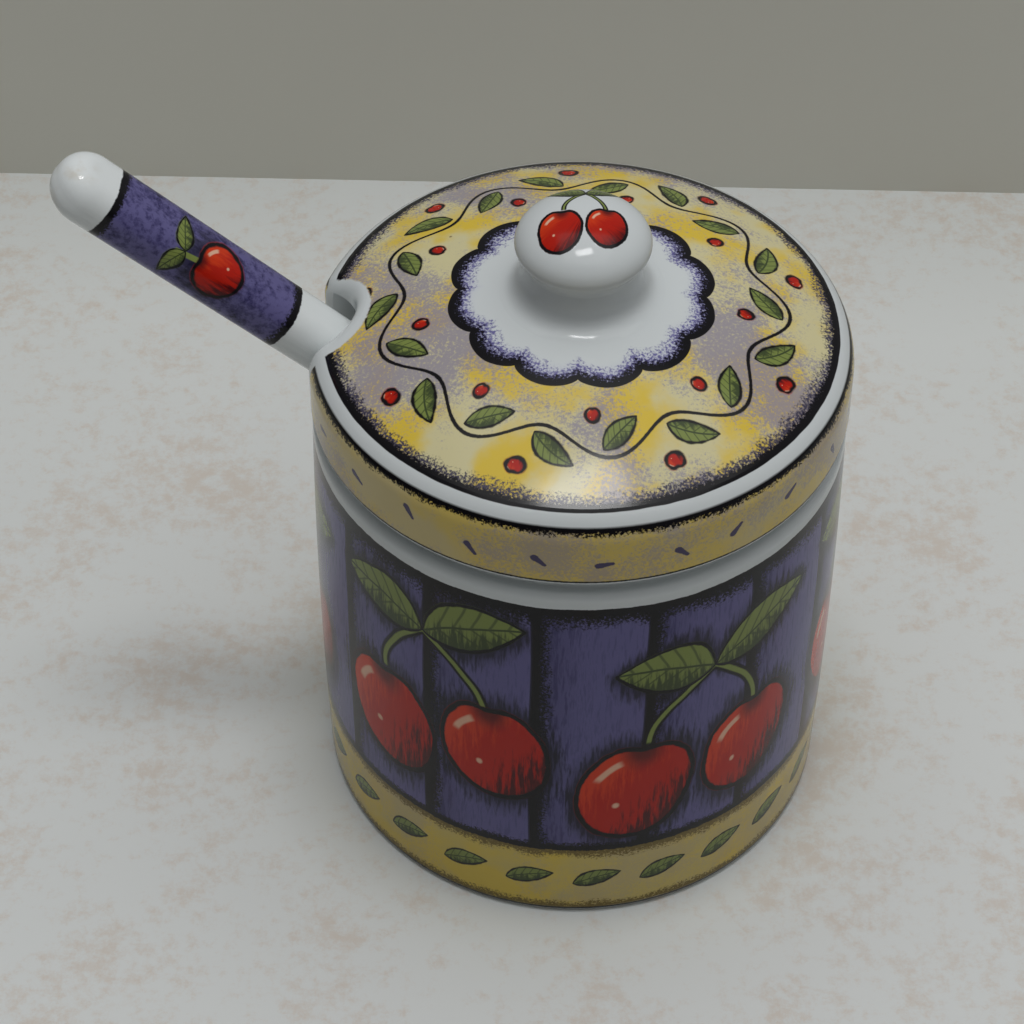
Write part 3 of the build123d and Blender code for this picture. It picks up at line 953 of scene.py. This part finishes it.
def stage_sheet(name, wide, high, place, turn, material):
    """A flat sheet of the stage."""
    bpy.ops.object.select_all(action="DESELECT")
    bpy.ops.mesh.primitive_plane_add(size=1.0, location=place, rotation=turn)
    sheet = bpy.context.object
    sheet.name = name
    sheet.scale = (wide, high, 1.0)
    bpy.ops.object.transform_apply(location=True, rotation=True, scale=True)
    sheet.data.materials.append(material)


def soft_lamp(name, power, size, place, aim):
    """A flat lamp that faces the pot."""
    bpy.ops.object.light_add(type="AREA", location=place)
    lamp = bpy.context.object
    lamp.name = name
    lamp.data.energy = power
    lamp.data.shape = "RECTANGLE"
    lamp.data.size, lamp.data.size_y = size
    lamp.rotation_euler = (Vector(aim) - Vector(place)).to_track_quat("-Z", "Y").to_euler()


def light_world(world, settings):
    """Soft light that grows towards the bright side, and, where the camera looks past the wall, the wall's colour at
    half strength as a painted shade of the wall.
    """
    brush = Brush(world.node_tree)
    nodes = world.node_tree.nodes
    even = nodes["Background"]
    even.inputs["Color"].default_value = settings.daylight
    facing = brush.node("ShaderNodeVectorMath", operation="DOT_PRODUCT")
    brush.feed(facing.inputs[0], brush.node("ShaderNodeTexCoord").outputs["Generated"])
    brush.feed(facing.inputs[1], Vector(settings.glow_way).normalized())
    bright = brush.ramp(brush.value(facing, "Value"), -0.35, 1.0)
    brush.feed(even.inputs["Strength"], bright * settings.glow + settings.sky)
    wall_in_painted_shade = brush.node("ShaderNodeBackground")
    # painted shade: the backdrop's colour at half strength, standing for the wall in shade where the camera sees past
    # it
    wall_in_painted_shade.inputs["Color"].default_value = (*(0.5 * channel for channel in settings.backdrop[:3]), 1.0)
    choice = brush.node("ShaderNodeMixShader")
    brush.feed(choice.inputs[0], brush.node("ShaderNodeLightPath").outputs["Is Camera Ray"])
    brush.feed(choice.inputs[1], even.outputs[0])
    brush.feed(choice.inputs[2], wall_in_painted_shade.outputs[0])
    brush.feed(nodes["World Output"].inputs[0], choice.outputs[0])


class JAMPOT_OT_stage(bpy.types.Operator):
    """Set the worktop, the wall, the lamps and the camera"""

    bl_idname = "jampot.stage"
    bl_label = "Set stage"

    def execute(self, context):
        settings = context.scene.jam_pot_stage
        span, wall_y, wall_h = settings.span, settings.wall_y, settings.wall_h
        upper_h = span / 2
        upright = (math.pi / 2, 0.0, settings.wall_turn)
        stage_sheet("worktop", span, span, (0.0, 0.0, 0.0), (0.0, 0.0, 0.0), worktop_material(settings))
        wall = backdrop_material("backdrop", settings)
        stage_sheet("backdrop", span, wall_h, (0.0, wall_y, wall_h / 2), upright, wall)
        upper = backdrop_material("backdrop_upper", settings, for_camera=True)
        stage_sheet("backdrop_upper", span, upper_h, (0.0, wall_y, wall_h + upper_h / 2), upright, upper)
        soft_lamp("top_lamp", settings.top_lamp, settings.top_size, settings.top_place, settings.aim)
        soft_lamp("wide_lamp", settings.wide_lamp, settings.wide_size, settings.wide_place, settings.aim)
        world = bpy.data.worlds.new("even_light")
        world.use_nodes = True
        light_world(world, settings)
        context.scene.world = world
        bpy.ops.object.camera_add(location=settings.camera_place)
        camera = context.object
        camera.name = "camera"
        camera.rotation_euler = Vector(settings.camera_way).to_track_quat("-Z", "Y").to_euler()
        camera.data.lens = settings.lens
        camera.data.sensor_width = SENSOR
        camera.data.clip_start = 0.01
        context.scene.camera = camera
        context.scene.view_settings.view_transform = "Standard"
        return {"FINISHED"}


class JAMPOT_PT_panel(bpy.types.Panel):
    """Glazes, paints and stage of the jam pot"""

    bl_idname = "JAMPOT_PT_panel"
    bl_label = "Jam pot"
    bl_space_type = "VIEW_3D"
    bl_region_type = "UI"
    bl_category = "Jam pot"

    def draw(self, context):
        for step in STEPS:
            self.layout.operator(step.bl_idname)
        for settings in (context.scene.jam_pot_sizes, context.scene.jam_pot_colours, context.scene.jam_pot_stage):
            box = self.layout.box()
            for name in settings.__annotations__:
                box.prop(settings, name)


STEPS = (JAMPOT_OT_pot, JAMPOT_OT_lid, JAMPOT_OT_spoon, JAMPOT_OT_stage)
CLASSES = (JamPotSizes, JamPotColours, JamPotStage, *STEPS, JAMPOT_PT_panel)


def register():
    for each in CLASSES:
        bpy.utils.register_class(each)
    bpy.types.Scene.jam_pot_sizes = bpy.props.PointerProperty(type=JamPotSizes)
    bpy.types.Scene.jam_pot_colours = bpy.props.PointerProperty(type=JamPotColours)
    bpy.types.Scene.jam_pot_stage = bpy.props.PointerProperty(type=JamPotStage)


def unregister():
    del bpy.types.Scene.jam_pot_stage
    del bpy.types.Scene.jam_pot_colours
    del bpy.types.Scene.jam_pot_sizes
    for each in reversed(CLASSES):
        bpy.utils.unregister_class(each)


def main():
    """Clears Blender's own first objects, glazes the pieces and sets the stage."""
    kept = {*frame["nodes"].values(), *frame["bodies"].values()}
    for thing in list(bpy.data.objects):
        if thing not in kept:
            bpy.data.objects.remove(thing)
    register()
    SHARED.update(shared_groups())
    bpy.ops.jampot.pot()
    bpy.ops.jampot.lid()
    bpy.ops.jampot.spoon()
    bpy.ops.jampot.stage()


if __name__ == "__main__":
    main()
